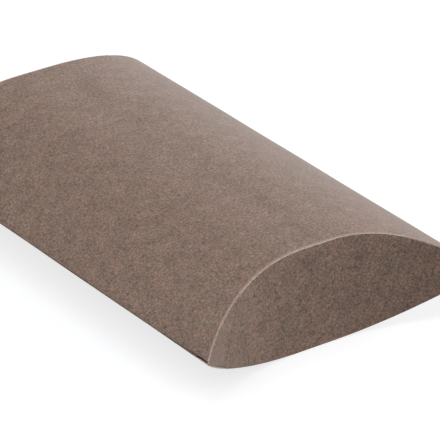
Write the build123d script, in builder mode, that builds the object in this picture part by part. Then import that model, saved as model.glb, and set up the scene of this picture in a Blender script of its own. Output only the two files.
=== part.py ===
import os
from math import sqrt

from build123d import *

# A pillow box folded from kraft board. X is its width, Y its length and Z is up from the surface it lies on.
# The origin is under its middle and the front end is at -Y. Sizes are millimetres.

# Closed box
LENGTH = 250.0
WIDTH = 135.0
HEIGHT = 46.0
CROWN_FLAT = 14.0  # width of the flat strip along the middle of each panel, the lower of which the box rests on

# Board and creases
BOARD = 0.45
CREASE_BOARD = 0.30  # board pressed thin along a score line
CREASE_WIDTH = 1.2

# Clearances
FLAP_GAP = 0.30  # from a flap to its panel and to the flap behind it
SEAM_GAP = 0.20  # under the cut edge of the top panel, along the glued side

# Glued side
TAB_WIDTH = 15.0
TAB_ROOT_SETBACK = 9.0  # from the box's corners, along the length, to the tab's root
TAB_TAPER = 8.0  # from the ends of the tab's root, along the length, to the ends of its edge
GLUE = 0.10
GLUE_INSET = 3.0  # from the tab's root to the glue, and from the glue to the tab's edge
GLUE_END_INSET = 4.0  # from the ends of the tab's edge

# Outer flaps, hinged on the bottom panel
OUTER_ROOT_SETBACK = 15.5  # from the box's corners, along the width
OUTER_EDGE_SETBACK = 27.5
OUTER_EDGE_GAP = 0.8  # from the free edge up to the top of the box

# Inner flaps, hinged on the top panel
INNER_ROOT_SETBACK = 6.5  # from the box's corners, along the width
INNER_EDGE_SETBACK = 19.0
INNER_EDGE_HEIGHT = 13.0  # of the free edge above the surface the box lies on

# Each panel bulges by half the height, and the end creases lie in planes at 45 degrees,
# so the section and the two ends share one curve: a flat crown strip with a tangent arc on each side.
HALF_HEIGHT = HEIGHT / 2
HALF_WIDTH = WIDTH / 2
HALF_FLAT = CROWN_FLAT / 2
ARC_RUN = HALF_WIDTH - HALF_FLAT
RADIUS = (ARC_RUN**2 + HALF_HEIGHT**2) / (2 * HALF_HEIGHT)
END_LEVEL = LENGTH / 2 - HALF_HEIGHT  # from the middle to an end crease at its crown
FOLD_LIMIT = HALF_WIDTH - CREASE_WIDTH
TAB_LAYERS = 2 * BOARD + GLUE
TAB_ROOT_END = LENGTH / 2 - TAB_ROOT_SETBACK
TAB_EDGE_END = TAB_ROOT_END - TAB_TAPER


def sag(reach, radius):
    """How far the curve has left its crown at a distance from the middle of the width."""
    return radius - sqrt(radius**2 - (reach - HALF_FLAT) ** 2)


def section(inset):
    """Outline of the box across its width, moved inward."""
    radius = RADIUS - inset
    tip = HALF_FLAT + sqrt(radius**2 - (RADIUS - HALF_HEIGHT) ** 2)
    with BuildSketch(Plane.XZ) as outline:
        with BuildLine():
            crown = Line((-HALF_FLAT, HEIGHT - inset), (HALF_FLAT, HEIGHT - inset))
            TangentArc(crown @ 1, (tip, HALF_HEIGHT), tangent=(1, 0))
            TangentArc(crown @ 0, (-tip, HALF_HEIGHT), tangent=(-1, 0))
            mirror(about=Plane.XZ.offset(-HALF_HEIGHT))
        make_face()
    return outline.sketch


def end_area(inset, left, right, floor=0.0):
    """The front half of the box from above, between two sides, with its end curve moved inward."""
    radius = RADIUS + inset
    level = -END_LEVEL + inset
    with BuildSketch(Plane.XY.offset(floor)) as outline:
        with BuildLine():
            crown = Line((-HALF_FLAT, level), (HALF_FLAT, level))
            right_arc = TangentArc(crown @ 1, (right, level - sag(right, radius)), tangent=(1, 0))
            left_arc = TangentArc(crown @ 0, (-left, level - sag(left, radius)), tangent=(-1, 0))
            Polyline(left_arc @ 1, (-left, 0), (right, 0), right_arc @ 1)
        make_face()
    return outline.sketch


def end_strip(inset, thickness, reach, floor=0.0):
    """A curved strip across the front end, seen from above."""
    outer = end_area(inset, reach, reach, floor)
    inner = end_area(inset + thickness, reach, reach, floor)
    return outer - inner


def outer_flap_outline():
    """The outer flap seen from the front: a curved root below, slanted sides and a curved free edge."""
    root_inset = BOARD + FLAP_GAP
    root = HALF_WIDTH - OUTER_ROOT_SETBACK
    edge = HALF_WIDTH - OUTER_EDGE_SETBACK
    root_end = root_inset + sag(root, RADIUS - root_inset)
    edge_end = HEIGHT - OUTER_EDGE_GAP - sag(edge, RADIUS - OUTER_EDGE_GAP)
    with BuildSketch(Plane.XZ) as outline:
        with BuildLine():
            low = Line((-HALF_FLAT, root_inset), (HALF_FLAT, root_inset))
            low_right = TangentArc(low @ 1, (root, root_end), tangent=(1, 0))
            low_left = TangentArc(low @ 0, (-root, root_end), tangent=(-1, 0))
            high = Line((-HALF_FLAT, HEIGHT - OUTER_EDGE_GAP), (HALF_FLAT, HEIGHT - OUTER_EDGE_GAP))
            high_right = TangentArc(high @ 1, (edge, edge_end), tangent=(1, 0))
            high_left = TangentArc(high @ 0, (-edge, edge_end), tangent=(-1, 0))
            Line(low_right @ 1, high_right @ 1)
            Line(low_left @ 1, high_left @ 1)
        make_face()
    return outline.sketch


def inner_flap_outline():
    """The inner flap seen from the front: a curved root above, bevelled sides and a straight free edge."""
    root_inset = BOARD + FLAP_GAP
    root = HALF_WIDTH - INNER_ROOT_SETBACK
    edge = HALF_WIDTH - INNER_EDGE_SETBACK
    root_end = HEIGHT - root_inset - sag(root, RADIUS - root_inset)
    with BuildSketch(Plane.XZ) as outline:
        with BuildLine():
            high = Line((-HALF_FLAT, HEIGHT - root_inset), (HALF_FLAT, HEIGHT - root_inset))
            right = TangentArc(high @ 1, (root, root_end), tangent=(1, 0))
            left = TangentArc(high @ 0, (-root, root_end), tangent=(-1, 0))
            Polyline(left @ 1, (-edge, INNER_EDGE_HEIGHT), (edge, INNER_EDGE_HEIGHT), right @ 1)
        make_face()
    return outline.sketch


# Panels: a shell of board bulging between the two sides, cut to the end curves

with BuildPart() as top_panel:
    extrude(section(0) - section(BOARD), amount=LENGTH / 2)
    extrude(end_area(CREASE_WIDTH, HALF_WIDTH, FOLD_LIMIT, HALF_HEIGHT + SEAM_GAP), HALF_HEIGHT, mode=Mode.INTERSECT)
    mirror(about=Plane.XZ)

with BuildPart() as bottom_panel:
    extrude(section(0) - section(BOARD), amount=LENGTH / 2)
    extrude(end_area(CREASE_WIDTH, FOLD_LIMIT, FOLD_LIMIT), HALF_HEIGHT, mode=Mode.INTERSECT)
    mirror(about=Plane.XZ)

# Long folds: one joins the two panels, the other turns the bottom panel into the glue tab

with BuildPart() as side_fold:
    extrude(section(0) - section(CREASE_BOARD), amount=LENGTH / 2)
    extrude(end_area(0, HALF_WIDTH, HALF_WIDTH), HEIGHT, mode=Mode.INTERSECT)
    split(bisect_by=Plane.YZ.offset(FOLD_LIMIT), keep=Keep.TOP)
    mirror(about=Plane.XZ)

with BuildPart() as seam_fold:
    extrude(section(0) - section(TAB_LAYERS), amount=LENGTH / 2)
    extrude(end_area(0, HALF_WIDTH, HALF_WIDTH), HALF_HEIGHT, mode=Mode.INTERSECT)
    split(bisect_by=Plane.YZ.offset(-FOLD_LIMIT), keep=Keep.BOTTOM)
    mirror(about=Plane.XZ)

# Glued side: the tab lies under the top panel with a film of glue between them

with BuildPart() as glue_tab:
    extrude(section(BOARD + GLUE) - section(TAB_LAYERS), amount=LENGTH / 2, both=True)
    with BuildSketch(Plane.XY.offset(HALF_HEIGHT)):
        with BuildLine():
            Polyline(
                (-HALF_WIDTH, -TAB_ROOT_END),
                (-HALF_WIDTH + TAB_WIDTH, -TAB_EDGE_END),
                (-HALF_WIDTH + TAB_WIDTH, TAB_EDGE_END),
                (-HALF_WIDTH, TAB_ROOT_END),
                close=True,
            )
        make_face()
    extrude(amount=HALF_HEIGHT, mode=Mode.INTERSECT)

with BuildPart() as glue_line:
    extrude(section(BOARD) - section(BOARD + GLUE), amount=LENGTH / 2, both=True)
    with BuildSketch(Plane.XY.offset(HALF_HEIGHT)):
        with Locations((-HALF_WIDTH + TAB_WIDTH / 2, 0)):
            Rectangle(TAB_WIDTH - 2 * GLUE_INSET, 2 * (TAB_EDGE_END - GLUE_END_INSET))
    extrude(amount=HALF_HEIGHT, mode=Mode.INTERSECT)

# End creases: the last strip of each panel, pressed thin so that the flap beside it can turn

with BuildPart() as front_top_crease:
    extrude(section(0) - section(CREASE_BOARD), amount=LENGTH / 2)
    extrude(end_strip(0, CREASE_WIDTH, FOLD_LIMIT, HALF_HEIGHT + SEAM_GAP), HALF_HEIGHT, mode=Mode.INTERSECT)

with BuildPart() as front_bottom_crease:
    extrude(section(0) - section(CREASE_BOARD), amount=LENGTH / 2)
    extrude(end_strip(0, CREASE_WIDTH, FOLD_LIMIT), HALF_HEIGHT, mode=Mode.INTERSECT)

# End flaps: each is a curved strip of board, the outer one just outside the panels' ends

with BuildPart() as front_outer_flap:
    extrude(outer_flap_outline(), amount=LENGTH / 2)
    extrude(end_strip(-FLAP_GAP - BOARD, BOARD, HALF_WIDTH), HEIGHT, mode=Mode.INTERSECT)

with BuildPart() as front_inner_flap:
    extrude(inner_flap_outline(), amount=LENGTH / 2)
    extrude(end_strip(0, BOARD, HALF_WIDTH), HEIGHT, mode=Mode.INTERSECT)

# The rear end is the front end's mirror image

with BuildPart() as rear_top_crease:
    mirror(front_top_crease.part, about=Plane.XZ)

with BuildPart() as rear_bottom_crease:
    mirror(front_bottom_crease.part, about=Plane.XZ)

with BuildPart() as rear_outer_flap:
    mirror(front_outer_flap.part, about=Plane.XZ)

with BuildPart() as rear_inner_flap:
    mirror(front_inner_flap.part, about=Plane.XZ)

pieces = {
    "top_panel": top_panel,
    "bottom_panel": bottom_panel,
    "side_fold": side_fold,
    "seam_fold": seam_fold,
    "glue_tab": glue_tab,
    "glue_line": glue_line,
    "front_top_crease": front_top_crease,
    "front_bottom_crease": front_bottom_crease,
    "front_outer_flap": front_outer_flap,
    "front_inner_flap": front_inner_flap,
    "rear_top_crease": rear_top_crease,
    "rear_bottom_crease": rear_bottom_crease,
    "rear_outer_flap": rear_outer_flap,
    "rear_inner_flap": rear_inner_flap,
}

os.makedirs("parts", exist_ok=True)
for label, piece in pieces.items():
    piece.part.label = label
    export_step(piece.part, f"parts/{label}.step")
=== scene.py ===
from math import asin, cos, radians, sin, sqrt

import bmesh
import bpy
from mathutils import Matrix, Vector


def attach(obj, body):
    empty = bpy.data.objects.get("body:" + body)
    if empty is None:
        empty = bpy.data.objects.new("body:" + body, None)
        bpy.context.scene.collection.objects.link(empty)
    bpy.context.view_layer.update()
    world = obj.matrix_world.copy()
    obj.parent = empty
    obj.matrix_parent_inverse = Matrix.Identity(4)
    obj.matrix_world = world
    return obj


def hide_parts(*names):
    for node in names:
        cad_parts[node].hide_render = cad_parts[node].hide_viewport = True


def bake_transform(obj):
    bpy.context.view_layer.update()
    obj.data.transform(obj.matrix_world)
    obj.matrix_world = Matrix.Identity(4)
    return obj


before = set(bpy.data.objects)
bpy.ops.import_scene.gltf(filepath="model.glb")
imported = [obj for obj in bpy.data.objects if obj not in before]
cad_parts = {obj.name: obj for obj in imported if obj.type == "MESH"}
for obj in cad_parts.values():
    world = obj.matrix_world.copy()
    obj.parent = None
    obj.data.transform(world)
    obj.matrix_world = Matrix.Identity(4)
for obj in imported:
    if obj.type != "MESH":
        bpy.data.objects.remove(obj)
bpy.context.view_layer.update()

# A pillow box in kraft board. Its blank is modelled as one sheet in its folded shape, creased and then
# cut apart along its folds, so that the pieces meet exactly.
# Blender works in metres, and the sizes below are given in millimetres.
MM = 0.001

# Closed box, as in the CAD model
LENGTH = 250 * MM
WIDTH = 135 * MM
HEIGHT = 46 * MM
CROWN_FLAT = 14 * MM  # flat strip along the middle of each panel
BOARD = 0.45 * MM
CREASE_BOARD = 0.30 * MM  # board pressed thin along a score line
GLUE = 0.10 * MM
FLAP_STEP = 0.47 * MM  # how far an outer flap's face stands outside the top panel's end

# Flap and tab outlines, from the box's middle along its width or length
OUTER_ROOT = 52 * MM
OUTER_EDGE = 40 * MM
OUTER_SIDE_START = 1.2 * MM  # above the root, where its sides start to slant
OUTER_EDGE_GAP = 0.45 * MM  # from the free edge up to the top crease
INNER_ROOT = 58.5 * MM
INNER_EDGE_HEIGHT = 13 * MM
INNER_CORNER = [x * MM for x in (67, 64, 61, 57, 53, 49)]  # where its corners follow the bottom panel
INNER_CORNER_GAP = 0.8 * MM  # from those corners down to the bottom panel
INNER_LEAN = 0.1 * MM  # how far it leans into the box, over the box's height
TOP_EDGE_SETBACK = 0.5 * MM  # from the glued side to the top panel's cut edge
TAB_EDGE = 52.5 * MM
TAB_ROOT_END = 116 * MM
TAB_EDGE_END = 108 * MM

# Shoulders beside each inner flap close the end wall and don't turn. The one on the folded side ends here.
SHOULDER_REACH = 65.8 * MM

# Setback of the rounding on each side of a fold
TOP_FOLD = 0.90 * MM
BOTTOM_FOLD = 0.40 * MM
SIDE_FOLD = 0.50 * MM

DIE_ROLL = 0.08 * MM  # rounding that the die leaves on the outer side of a cut edge

# Marks of handling
BOARD_WAVE_LENGTH = 45 * MM
BOARD_WAVE_DEPTH = 0.30 * MM
CORNER_LIFT = 0.90 * MM  # of the top panel's corners beyond the glue tab's ends
CORNER_LIFT_REACH = 30 * MM
LIFTED_EDGE = 5 * MM  # length of the cut edge at each corner that lifts fully
CUT_EDGE_STRIP = 1 * MM  # strip along the glued side that holds the cut edge

# Mesh divisions. Those of the panels, the flaps and the tab are a few millimetres each.
CROWN_COLUMNS = 5
ARC_COLUMNS = 24
PANEL_ROWS = 63
FLAP_ROWS = 14
TAB_COLUMNS = 6
FOLD_SEGMENTS = 6
ROLL_SEGMENTS = 3

# Limits for telling edges and faces apart
SAME_PLACE = 0.01 * MM  # points this close count as one place
CUT_TOLERANCE = 0.0001 * MM  # a point this close to a cutting plane counts as on it
PARALLEL = 0.98  # least cosine between an edge and the direction it runs along
FLAP_SLOPE = 0.3  # most that a flap's normal points up or down
SHOULDER_SLOPE = 0.05  # most that a shoulder's normal points up, less than on the rounded crease
SHARP_ANGLE = radians(40)  # edges sharper than this are shaded as edges

SPARE_LENGTH = 1.1  # a panel starts this many times as long as the box, and is then trimmed

HALF_HEIGHT = HEIGHT / 2
HALF_WIDTH = WIDTH / 2
HALF_FLAT = CROWN_FLAT / 2
RADIUS = ((HALF_WIDTH - HALF_FLAT) ** 2 + HALF_HEIGHT**2) / (2 * HALF_HEIGHT)
END_LEVEL = LENGTH / 2 - HALF_HEIGHT  # from the middle to an end crease at its crown
FLAP_LEVEL = END_LEVEL + FLAP_STEP  # the same for an outer flap's face

# The glue tab's face runs under the top panel and the glue.
# It starts where that curve meets the bottom panel's.
TAB_DEPTH = BOARD + GLUE
TAB_RADIUS = RADIUS - TAB_DEPTH
SEAM_HEIGHT = HALF_HEIGHT - (RADIUS**2 - TAB_RADIUS**2) / (2 * (2 * RADIUS - HEIGHT))
SEAM_REACH = sqrt(RADIUS**2 - (RADIUS - SEAM_HEIGHT) ** 2)

FRONT, REAR = -1, 1
ENDS = {FRONT: "front", REAR: "rear"}
PIECES = ["top_panel", "bottom_panel", "glue_tab", "side_fold", "seam_fold"]
for end_name in ENDS.values():
    PIECES += [f"{end_name}_{part}" for part in ("outer_flap", "inner_flap", "top_crease", "bottom_crease")]
FOLDS = [name for name in PIECES if name.endswith(("_fold", "_crease"))]

# Material slots of a finished piece. A slot for faces is followed by the one for their cut edges.
FACE_SLOT = 0
CUT_EDGE_SLOT = 1
SHOULDER_SLOT = 2  # on the creases only


def sag(x):
    """How far a panel's curve has left its crown at a distance from the middle of the width."""
    return RADIUS - sqrt(RADIUS**2 - max(0, abs(x) - HALF_FLAT) ** 2)


# Modelling tools


def finish_mesh():
    """Leaves edit mode with nothing selected."""
    bpy.ops.object.mode_set(mode="OBJECT")
    bpy.ops.object.select_all(action="DESELECT")


def start_edit(piece):
    """Makes a piece the only one in hand and enters edit mode."""
    bpy.ops.object.select_all(action="DESELECT")
    bpy.context.view_layer.objects.active = piece
    piece.select_set(True)
    bpy.ops.object.mode_set(mode="EDIT")


def pick(piece, kind, wanted):
    """Selects, in edit mode, the edges or faces that pass a test."""
    bpy.ops.mesh.select_mode(type=kind)
    bpy.ops.mesh.select_all(action="DESELECT")
    mesh = bmesh.from_edit_mesh(piece.data)
    for part in mesh.edges if kind == "EDGE" else mesh.faces:
        if wanted(part):
            part.select_set(True)
    mesh.select_flush_mode()
    bmesh.update_edit_mesh(piece.data)


def ends_of(edge):
    return edge.verts[0].co, edge.verts[1].co


def lies_at(edge, axis, place):
    return all(abs(end[axis] - place) < SAME_PLACE for end in ends_of(edge))


def runs_along(edge, direction):
    step = edge.verts[1].co - edge.verts[0].co
    return abs(step.normalized().dot(direction.normalized())) > PARALLEL


def middle(face):
    return face.calc_center_median()


def whole(face):
    """A test that every face passes."""
    return True


def only(*names):
    """A test for the faces of some of the board's pieces."""
    slots = [PIECES.index(name) for name in names]
    return lambda face: face.material_index in slots


def cut(piece, chosen, point, keep, remove=True):
    """Bisects the faces that pass a test, and removes what lies away from the keep direction."""
    pick(piece, "FACE", chosen)
    direction = Vector(keep).normalized()
    bpy.ops.mesh.bisect(plane_co=point, plane_no=direction, clear_inner=remove, threshold=CUT_TOLERANCE)


def paint(piece, name):
    """Gives the selected faces the slot of the board piece they belong to."""
    piece.active_material_index = PIECES.index(name)
    bpy.ops.object.material_slot_assign()


# The blank


def bulging_sheet(name, level, up, left_reach):
    """One panel's outer face: a crown strip with an arc spun from each side, longer than the box."""
    bpy.ops.object.select_all(action="DESELECT")
    bpy.ops.mesh.primitive_grid_add(
        x_subdivisions=CROWN_COLUMNS,
        y_subdivisions=1,
        size=LENGTH,
        location=(0, 0, level),
        enter_editmode=True,
    )
    sheet = bpy.context.object
    sheet.name = name
    bpy.ops.transform.resize(value=(CROWN_FLAT / LENGTH, SPARE_LENGTH, 1))
    bpy.ops.object.mode_set(mode="OBJECT")
    bpy.ops.object.transform_apply(location=True, rotation=True, scale=True)
    # Until the pieces are cut apart, a material for each one marks its faces
    for piece_name in PIECES:
        mark = bpy.data.materials.get(piece_name) or bpy.data.materials.new(piece_name)
        sheet.data.materials.append(mark)
    bpy.ops.object.mode_set(mode="EDIT")
    for side, reach in ((1, HALF_WIDTH - HALF_FLAT), (-1, left_reach)):
        pick(sheet, "EDGE", lambda edge: lies_at(edge, 0, side * HALF_FLAT))
        bpy.ops.mesh.spin(
            steps=ARC_COLUMNS,
            angle=-side * up * asin(reach / RADIUS),
            center=(side * HALF_FLAT, 0, level - up * RADIUS),
            axis=(0, 1, 0),
        )
    return sheet


def trim_ends(sheet, crown_level, up):
    """Cuts a panel along its two end creases, which lie in planes at 45 degrees."""
    for end in ENDS:
        cut(sheet, whole, (0, end * END_LEVEL, crown_level), (0, -end, -up))


def divide_length(sheet):
    pick(sheet, "EDGE", lambda edge: runs_along(edge, Vector((0, 1, 0))))
    bpy.ops.mesh.subdivide(number_cuts=PANEL_ROWS - 1)


def pick_crease(sheet, left, right, beyond_crease):
    """Selects the edges along an end crease, between two sides. beyond_crease is 0 on the crease."""
    pick(
        sheet,
        "EDGE",
        lambda edge: all(
            abs(beyond_crease(point)) < SAME_PLACE and left - SAME_PLACE < point.x < right + SAME_PLACE
            for point in ends_of(edge)
        ),
    )


def draw_out_flap(sheet, name, step):
    """Draws the selected crease up or down into an end flap."""
    bpy.ops.mesh.extrude_region_move(TRANSFORM_OT_translate={"value": step})
    in_panel = only("top_panel", "bottom_panel")
    pick(sheet, "FACE", lambda face: in_panel(face) and abs(face.normal.z) < FLAP_SLOPE)
    paint(sheet, name)


def divide_flap(sheet, name, step):
    in_flap = only(name)
    pick(
        sheet,
        "EDGE",
        lambda edge: runs_along(edge, step) and any(in_flap(face) for face in edge.link_faces),
    )
    bpy.ops.mesh.subdivide(number_cuts=FLAP_ROWS - 1)


def top_sheet():
    """The top panel with its two inner flaps and the shoulders beside them."""
    sheet = bulging_sheet("kraft_blank", HEIGHT, 1, HALF_WIDTH - HALF_FLAT - TOP_EDGE_SETBACK)
    trim_ends(sheet, HEIGHT, 1)
    for place in (INNER_ROOT, -INNER_ROOT, SHOULDER_REACH):
        cut(sheet, whole, (place, 0, 0), (1, 0, 0), remove=False)
    divide_length(sheet)
    for end, end_name in ENDS.items():
        name = f"{end_name}_inner_flap"
        pick_crease(
            sheet,
            -HALF_WIDTH,
            SHOULDER_REACH,
            lambda point: end * point.y - END_LEVEL - (HEIGHT - point.z),
        )
        step = Vector((0, -end * INNER_LEAN, -HEIGHT))
        draw_out_flap(sheet, name, step)
        divide_flap(sheet, name, step)
        in_flap = only(name)
        pick(sheet, "FACE", lambda face: in_flap(face) and abs(middle(face).x) > INNER_ROOT)
        paint(sheet, f"{end_name}_top_crease")
    finish_mesh()
    return sheet


def add_outer_flaps(sheet):
    """Draws the outer flaps up from the bottom panel's end creases and cuts them to their outlines."""
    side_start = sag(OUTER_ROOT) + OUTER_SIDE_START
    rise = HEIGHT - sag(OUTER_EDGE) - side_start
    for end, end_name in ENDS.items():
        name = f"{end_name}_outer_flap"
        pick_crease(sheet, -OUTER_ROOT, OUTER_ROOT, lambda point: end * point.y - END_LEVEL - point.z)
        bpy.ops.mesh.extrude_region_move(TRANSFORM_OT_translate={"value": (0, end * FLAP_STEP, 0)})
        pick_crease(sheet, -OUTER_ROOT, OUTER_ROOT, lambda point: end * point.y - FLAP_LEVEL - point.z)
        step = Vector((0, 0, HEIGHT))
        draw_out_flap(sheet, name, step)
        cut(sheet, only(name), (0, end * FLAP_LEVEL, HEIGHT - OUTER_EDGE_GAP), (0, -end, -1))
        divide_flap(sheet, name, step)
        for side in (1, -1):
            cut(
                sheet,
                only(name),
                (side * OUTER_ROOT, 0, side_start),
                (-side * rise, 0, OUTER_EDGE - OUTER_ROOT),
            )


def add_glue_tab(sheet):
    """Spins the tab up from the bottom panel's left edge, along the underside of the top panel."""
    pick(sheet, "EDGE", lambda edge: edge.is_boundary and lies_at(edge, 0, -HALF_FLAT - SEAM_REACH))
    bpy.ops.mesh.spin(
        steps=TAB_COLUMNS,
        angle=asin((TAB_EDGE - HALF_FLAT) / TAB_RADIUS) - asin(SEAM_REACH / TAB_RADIUS),
        center=(-HALF_FLAT, 0, HEIGHT - RADIUS),
        axis=(0, 1, 0),
    )
    in_panel = only("bottom_panel")
    pick(
        sheet,
        "FACE",
        lambda face: in_panel(face) and middle(face).z > SEAM_HEIGHT and middle(face).x < 0,
    )
    paint(sheet, "glue_tab")
    # Its ends are cut at a slant. They share points with the panel, so they are cut first and then removed.
    in_tab = only("glue_tab")
    corner = Vector((-HALF_FLAT - SEAM_REACH, TAB_ROOT_END, 0))
    inward = Vector((TAB_EDGE_END - TAB_ROOT_END, corner.x + TAB_EDGE, 0))
    for mirror in (Vector((1, 1, 1)), Vector((1, -1, 1))):
        cut(sheet, in_tab, corner * mirror, inward * mirror, remove=False)
        pick(
            sheet,
            "FACE",
            lambda face: in_tab(face) and (middle(face) - corner * mirror).dot(inward * mirror) < 0,
        )
        bpy.ops.mesh.delete(type="FACE")


def bottom_sheet():
    """The bottom panel with its two outer flaps and the glue tab."""
    sheet = bulging_sheet("kraft_blank_lower", 0, -1, SEAM_REACH)
    pick(sheet, "FACE", whole)
    paint(sheet, "bottom_panel")
    trim_ends(sheet, 0, -1)
    for side in (1, -1):
        cut(sheet, whole, (side * OUTER_ROOT, 0, 0), (1, 0, 0), remove=False)
    divide_length(sheet)
    add_outer_flaps(sheet)
    add_glue_tab(sheet)
    finish_mesh()
    return sheet


def slots_beside(edge):
    return {face.material_index for face in edge.link_faces}


def fold_line(blank, name, setback, *pairs):
    """Rounds off the fold between pairs of pieces. The rounded strip is given to a piece of its own."""
    slots = [{PIECES.index(piece) for piece in pair} for pair in pairs]
    pick(blank, "EDGE", lambda edge: slots_beside(edge) in slots)
    bpy.ops.mesh.bevel(
        offset=setback,
        segments=FOLD_SEGMENTS,
        affect="EDGES",
        clamp_overlap=False,
        material=PIECES.index(name),
    )


def folded_blank():
    """The whole blank in its folded shape, a sheet with no thickness yet."""
    blank = top_sheet()
    lower = bottom_sheet()
    lower.select_set(True)
    blank.select_set(True)
    bpy.context.view_layer.objects.active = blank
    bpy.ops.object.join()
    start_edit(blank)
    pick(blank, "EDGE", lambda edge: lies_at(edge, 0, HALF_WIDTH))
    bpy.ops.mesh.remove_doubles(threshold=SAME_PLACE)
    bpy.ops.mesh.select_all(action="SELECT")
    bpy.ops.mesh.normals_make_consistent(inside=False)
    fold_line(blank, "side_fold", SIDE_FOLD, ("top_panel", "bottom_panel"))
    fold_line(blank, "seam_fold", SIDE_FOLD, ("bottom_panel", "glue_tab"))
    for end_name in ENDS.values():
        top_crease = f"{end_name}_top_crease"
        inner_flap = f"{end_name}_inner_flap"
        outer_flap = f"{end_name}_outer_flap"
        fold_line(blank, top_crease, TOP_FOLD, ("top_panel", inner_flap), ("top_panel", top_crease))
        fold_line(blank, f"{end_name}_bottom_crease", BOTTOM_FOLD, ("bottom_panel", outer_flap))
    finish_mesh()
    return blank


def in_loose_corner(point, end):
    """Whether a point is on the glued side at one of its ends, beyond the glue tab."""
    return point.x < -HALF_WIDTH + CUT_EDGE_STRIP and end * point.y > LENGTH / 2 - LIFTED_EDGE


def settle_board(blank):
    """What handling does to board: corners lift where the glue tab doesn't reach, and it waves a little."""
    start_edit(blank)
    in_top = only("top_panel")
    for end in ENDS:
        pick(
            blank,
            "EDGE",
            lambda edge: edge.is_boundary
            and in_top(edge.link_faces[0])
            and all(in_loose_corner(point, end) for point in ends_of(edge)),
        )
        bpy.ops.transform.translate(
            value=(0, 0, CORNER_LIFT),
            use_proportional_edit=True,
            use_proportional_connected=True,
            proportional_edit_falloff="SMOOTH",
            proportional_size=CORNER_LIFT_REACH,
        )
    finish_mesh()
    waves = bpy.data.textures.new("board_waves", "CLOUDS")
    waves.noise_scale = BOARD_WAVE_LENGTH
    waves.noise_depth = 1
    sink = blank.modifiers.new("board_waves", "DISPLACE")
    sink.texture = waves
    sink.texture_coords = "LOCAL"
    sink.strength = BOARD_WAVE_DEPTH
    sink.mid_level = 1  # inward only, so that the box keeps its size
    bpy.context.view_layer.objects.active = blank
    bpy.ops.object.modifier_apply(modifier=sink.name)


def trim_inner_flaps(blank):
    """Cuts the inner flaps' free edges: straight in the middle, along the bottom panel at the corners."""
    start_edit(blank)
    corner = [Vector((x, 0, sag(x) + INNER_CORNER_GAP)) for x in INNER_CORNER]
    for end_name in ENDS.values():
        end_wall = only(f"{end_name}_inner_flap", f"{end_name}_top_crease")
        cut(blank, end_wall, (0, 0, INNER_EDGE_HEIGHT), (0, 0, 1))
        for side in (1, -1):
            for point, next_point in zip(corner, corner[1:]):
                fall = next_point - point
                cut(blank, end_wall, (side * point.x, 0, point.z), (side * fall.z, 0, -fall.x))
    finish_mesh()


def cut_apart(blank):
    """Separates the blank into its pieces, with the outline that the die cut marked as a seam."""
    start_edit(blank)
    pick(blank, "EDGE", lambda edge: edge.is_boundary)
    bpy.ops.mesh.mark_seam()
    bpy.ops.mesh.separate(type="MATERIAL")
    bpy.ops.object.mode_set(mode="OBJECT")
    pieces = {piece.material_slots[0].material.name: piece for piece in bpy.context.selected_objects}
    bpy.ops.object.select_all(action="DESELECT")
    return pieces


def leave_shoulders_plain(piece):
    """Gives a top crease's upright shoulders, which no press has touched, a slot for plain board."""
    start_edit(piece)
    pick(
        piece,
        "FACE",
        lambda face: face.normal.z < SHOULDER_SLOPE and abs(middle(face).x) > INNER_ROOT,
    )
    piece.active_material_index = SHOULDER_SLOT
    bpy.ops.object.material_slot_assign()
    finish_mesh()


def give_thickness(piece, thickness, die_roll):
    """Thickens a piece inward and rounds the outer side of the edges that the die cut."""
    outer_points = len(piece.data.vertices)  # these keep their numbers, and the inner side's follow
    bpy.context.view_layer.objects.active = piece
    wall = piece.modifiers.new("thickness", "SOLIDIFY")
    wall.thickness = thickness
    wall.offset = -1
    wall.use_quality_normals = True
    wall.material_offset_rim = CUT_EDGE_SLOT - FACE_SLOT
    bpy.ops.object.modifier_apply(modifier=wall.name)
    start_edit(piece)
    if die_roll:
        pick(
            piece,
            "EDGE",
            lambda edge: edge.seam and all(point.index < outer_points for point in edge.verts),
        )
        bpy.ops.mesh.bevel(
            offset=die_roll,
            segments=ROLL_SEGMENTS,
            affect="EDGES",
            clamp_overlap=False,
            loop_slide=False,
            material=FACE_SLOT,
        )
    bpy.ops.object.mode_set(mode="OBJECT")
    bpy.ops.object.shade_smooth_by_angle(angle=SHARP_ANGLE)


# Materials

# Sizes of the patterns, in millimetres.
# Real pulp clots are down to 0.1 mm across and fibres some 0.03 mm thick. The clots are drawn at up to
# 1 mm and the fibres as tufts ten times as thick, so that they show in the render.
CLOUD_SIZE = 6
DRIFT_SIZE = 5
CLOT_SIZE = 0.95
FIBRE_LIES = (  # how far each lie of fibres is turned, and a fibre's size along its x, y and z
    (radians(35), (0.3, 2.2, 0.4)),
    (radians(-55), (0.3, 1.8, 0.4)),
    (radians(-10), (2, 0.3, 0.4)),
)
SPECK_SPACING = 2.4
GRAIN_RELIEF = 0.06
GLUE_BEAD_SIZE = 3

PALE_CLOTS = 1.3  # how much further pale clots stand out than dark ones
ROUGHNESS_SPREAD = 0.06


def colour(code):
    """An sRGB hex colour as linear RGBA."""
    channels = [int(code[place : place + 2], 16) / 255 for place in (1, 3, 5)]
    return [c / 12.92 if c <= 0.04045 else ((c + 0.055) / 1.055) ** 2.4 for c in channels] + [1]


def per(size):
    """Texture scale that gives a pattern features of a size in millimetres."""
    return 1 / (size * MM)


def add(tree, kind, inputs=None, **settings):
    """Adds a node. An input is a value, or the output of another node to link it to."""
    node = tree.nodes.new(f"ShaderNode{kind}")
    for name, value in settings.items():
        setattr(node, name, value)
    for name, value in (inputs or {}).items():
        if isinstance(value, bpy.types.NodeSocket):
            tree.links.new(value, node.inputs[name])
        else:
            node.inputs[name].default_value = value
    return node


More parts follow.
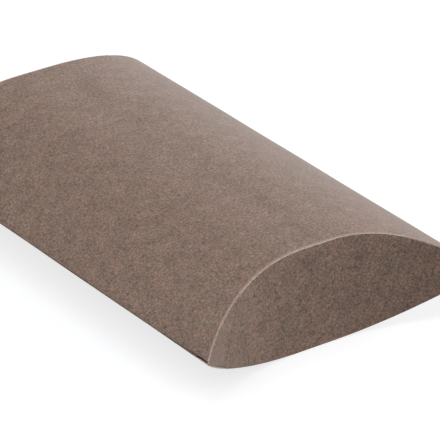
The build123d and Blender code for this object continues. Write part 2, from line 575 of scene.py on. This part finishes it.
def kraft(name, pale, deep, roughness, grain):
    """Uncoated recycled kraft board, pressed from brown pulp.

    It is matt, with a fine grain of pulp clots, patches that drift between reddish and greenish brown,
    faint pale fibres lying every way and a few dark specks.
    The grain runs from 0, even brown, to 1, clots that are black in places.
    """
    material = bpy.data.materials.new(name)
    material.use_nodes = True
    tree = material.node_tree
    surface = tree.nodes["Principled BSDF"]
    place = add(tree, "TexCoord").outputs["Object"]

    clouds = add(tree, "TexNoise", {"Vector": place, "Scale": per(CLOUD_SIZE), "Detail": 3})
    cloud_share = add(tree, "MapRange", {"Value": clouds.outputs["Fac"], "From Min": 0.3, "From Max": 0.7})
    pulp = add(
        tree,
        "MixRGB",
        {"Fac": cloud_share.outputs["Result"], "Color1": colour(deep), "Color2": colour(pale)},
    )
    drift = add(tree, "TexNoise", {"Vector": place, "Scale": per(DRIFT_SIZE), "Detail": 2})
    drift_share = add(tree, "MapRange", {"Value": drift.outputs["Fac"], "From Min": 0.3, "From Max": 0.7})
    tint = add(
        tree,
        "MixRGB",
        {"Fac": drift_share.outputs["Result"], "Color1": colour("#e2ecdd"), "Color2": colour("#f6dfdf")},
    )
    tinted = add(
        tree,
        "MixRGB",
        {"Fac": 0.5, "Color1": pulp.outputs["Color"], "Color2": tint.outputs["Color"]},
        blend_type="MULTIPLY",
    )
    clots = add(
        tree,
        "TexNoise",
        {"Vector": place, "Scale": per(CLOT_SIZE), "Detail": 4, "Roughness": 0.7},
    )
    clot_shade = add(
        tree,
        "MapRange",
        {
            "Value": clots.outputs["Fac"],
            "From Min": 0.3,
            "From Max": 0.7,
            "To Min": 1 - grain,
            "To Max": 1 + PALE_CLOTS * grain,
        },
    )
    clotted = add(
        tree,
        "VectorMath",
        {0: tinted.outputs["Color"], "Scale": clot_shade.outputs["Result"]},
        operation="SCALE",
    )
    fibres = None
    for turn, size in FIBRE_LIES:
        lie = add(
            tree,
            "Mapping",
            {"Vector": place, "Rotation": (0, 0, turn), "Scale": [per(s) for s in size]},
        )
        strand = add(tree, "TexNoise", {"Vector": lie.outputs["Vector"], "Scale": 1, "Detail": 1})
        strand_share = add(
            tree,
            "MapRange",
            {"Value": strand.outputs["Fac"], "From Min": 0.62, "From Max": 0.74, "To Max": 0.25},
        )
        shown = strand_share.outputs["Result"]
        if fibres is None:
            fibres = shown
        else:
            fibres = add(tree, "Math", {0: fibres, 1: shown}, operation="MAXIMUM").outputs["Value"]
    fibred = add(
        tree,
        "MixRGB",
        {"Fac": fibres, "Color1": clotted.outputs["Vector"], "Color2": colour("#b3a096")},
    )
    specks = add(tree, "TexVoronoi", {"Vector": place, "Scale": per(SPECK_SPACING)})
    speck_share = add(
        tree,
        "MapRange",
        {
            "Value": specks.outputs["Distance"],
            "From Min": 0.06,
            "From Max": 0.12,
            "To Min": 0.5,
            "To Max": 0,
        },
    )
    specked = add(
        tree,
        "MixRGB",
        {
            "Fac": speck_share.outputs["Result"],
            "Color1": fibred.outputs["Color"],
            "Color2": colour("#4d3d36"),
        },
    )
    tree.links.new(specked.outputs["Color"], surface.inputs["Base Color"])

    relief = add(tree, "Math", {0: clots.outputs["Fac"], 1: fibres}, operation="ADD")
    bump = add(
        tree,
        "Bump",
        {"Height": relief.outputs["Value"], "Strength": 0.5, "Distance": GRAIN_RELIEF * MM},
    )
    tree.links.new(bump.outputs["Normal"], surface.inputs["Normal"])
    matt = add(
        tree,
        "MapRange",
        {
            "Value": clots.outputs["Fac"],
            "To Min": roughness - ROUGHNESS_SPREAD,
            "To Max": roughness + ROUGHNESS_SPREAD,
        },
    )
    tree.links.new(matt.outputs["Result"], surface.inputs["Roughness"])
    surface.inputs["IOR"].default_value = 1.5
    surface.inputs["Specular IOR Level"].default_value = 0.5
    surface.inputs["Sheen Weight"].default_value = 0.25
    surface.inputs["Sheen Roughness"].default_value = 0.4
    return material


def dried_glue():
    """Dried white wood glue, a thin skin that is milky and slightly glossy."""
    material = bpy.data.materials.new("dried_white_glue")
    material.use_nodes = True
    tree = material.node_tree
    surface = tree.nodes["Principled BSDF"]
    place = add(tree, "TexCoord").outputs["Object"]
    beads = add(tree, "TexNoise", {"Vector": place, "Scale": per(GLUE_BEAD_SIZE), "Detail": 3})
    milk = add(
        tree,
        "MixRGB",
        {"Fac": beads.outputs["Fac"], "Color1": colour("#d8d2c2"), "Color2": colour("#efebe0")},
    )
    tree.links.new(milk.outputs["Color"], surface.inputs["Base Color"])
    gloss = add(tree, "MapRange", {"Value": beads.outputs["Fac"], "To Min": 0.3, "To Max": 0.55})
    tree.links.new(gloss.outputs["Result"], surface.inputs["Roughness"])
    return material


# The box

blank = folded_blank()
settle_board(blank)
trim_inner_flaps(blank)
pieces = cut_apart(blank)

board = kraft("kraft_board", pale="#866f62", deep="#756054", roughness=0.62, grain=0.72)
# Pressed along a score, the pulp is paler and smoother. The colour is painted paler still, a painted
# highlight for the light that the rounded fold catches
crease = kraft("kraft_board_crease", pale="#a38d82", deep="#998478", roughness=0.6, grain=0.35)
# Cut through by the die, it shows its pale, dull core. It is painted paler still, painted light that keeps
# edges turned away from the lamps from showing dark
cut_edge = kraft("kraft_board_cut_edge", pale="#d0c0b4", deep="#c2b1a5", roughness=0.75, grain=0.35)

for name, piece in pieces.items():
    pressed = name in FOLDS
    piece.data.materials.clear()
    slots = (crease, cut_edge, board, cut_edge) if name.endswith("_crease") else (board, cut_edge)
    for material in slots:
        piece.data.materials.append(material)
    if name.endswith("_top_crease"):
        leave_shoulders_plain(piece)
    if pressed:
        give_thickness(piece, CREASE_BOARD, 0)  # pressed board is too thin to show the die's rounding
    else:
        give_thickness(piece, BOARD, DIE_ROLL)
    piece.name = f"{name}_board"
    piece.data.name = piece.name
    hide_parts(name)

# A flap's crease lies in a plane at 45 degrees. The flaps keep their places with their transforms baked in,
# and the other pieces go on the carton's body
for end, end_name in ENDS.items():
    outer = pieces.pop(f"{end_name}_outer_flap")
    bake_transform(outer)
    inner = pieces.pop(f"{end_name}_inner_flap")
    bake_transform(inner)
for piece in pieces.values():
    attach(piece, "carton")

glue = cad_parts["glue_line"]
glue.data.materials.clear()
glue.data.materials.append(dried_glue())

# Studio: a white floor, a broad light overhead, another from the right, two weak ones and pale surroundings

FLOOR_SIZE = 8  # metres
FLOOR_GAP = 0.02 * MM  # under the box, so that the two share no face


def studio_floor():
    """White background paper on a light table, which keeps the shadows pale."""
    bpy.ops.mesh.primitive_plane_add(size=FLOOR_SIZE, location=(0, 0, -FLOOR_GAP))
    floor = bpy.context.object
    floor.name = "studio_floor"
    paper = bpy.data.materials.new("white_background_paper")
    paper.use_nodes = True
    surface = paper.node_tree.nodes["Principled BSDF"]
    surface.inputs["Base Color"].default_value = colour("#9a9ca0")
    surface.inputs["Roughness"].default_value = 0.9
    surface.inputs["Specular IOR Level"].default_value = 0.1
    surface.inputs["Emission Color"].default_value = (1, 1, 1, 1)
    surface.inputs["Emission Strength"].default_value = 0.75
    floor.data.materials.append(paper)
    # Its glow stays off the box, as the box's own shadow would keep it off
    floor.visible_diffuse = False
    floor.visible_glossy = False


def softbox(name, place, width, height, power):
    """A studio light that faces the box, with its sizes in metres."""
    data = bpy.data.lights.new(name, "AREA")
    data.shape = "RECTANGLE"
    data.size = width
    data.size_y = height
    data.energy = power
    lamp = bpy.data.objects.new(name, data)
    lamp.location = place
    lamp.rotation_euler = (-Vector(place)).to_track_quat("-Z", "Y").to_euler()
    bpy.context.scene.collection.objects.link(lamp)


def pale_surroundings():
    world = bpy.data.worlds.new("studio")
    world.use_nodes = True
    background = world.node_tree.nodes["Background"]
    background.inputs["Color"].default_value = (1, 1, 1, 1)
    background.inputs["Strength"].default_value = 0.25
    bpy.context.scene.world = world


def photo_camera():
    """The photograph's view, from the front left and looking down, as fitted to the box's outline."""
    azimuth = radians(-34.11)
    elevation = radians(26.68)
    roll = radians(-1.06)
    target = Vector((7.1, -24.7, 23)) * MM
    distance = 1.7967
    back = Vector((sin(azimuth) * cos(elevation), -cos(azimuth) * cos(elevation), sin(elevation)))
    right = Vector((cos(azimuth), sin(azimuth), 0))
    up = back.cross(right)
    across = right * cos(roll) + up * sin(roll)
    upright = up * cos(roll) - right * sin(roll)
    data = bpy.data.cameras.new("photo_camera")
    data.sensor_width = 36
    data.lens = 359.3
    data.clip_start = 0.1
    data.clip_end = 50
    camera = bpy.data.objects.new("photo_camera", data)
    turn = Matrix((across, upright, back)).transposed()
    camera.matrix_world = Matrix.Translation(target + back * distance) @ turn.to_4x4()
    bpy.context.scene.collection.objects.link(camera)
    bpy.context.scene.camera = camera


studio_floor()
softbox("overhead_softbox", place=(-0.95, 0.1, 2.1), width=2.4, height=2.4, power=42)
softbox("right_softbox", place=(2.0, -0.7, 0.7), width=2.2, height=1.2, power=39)
softbox("back_softbox", place=(1.2, 1.8, 0.25), width=2.0, height=0.5, power=5)
softbox("front_softbox", place=(0.3, -2.2, 0.45), width=1.4, height=0.9, power=9.4)
pale_surroundings()
bpy.context.scene.view_settings.view_transform = "Standard"
photo_camera()
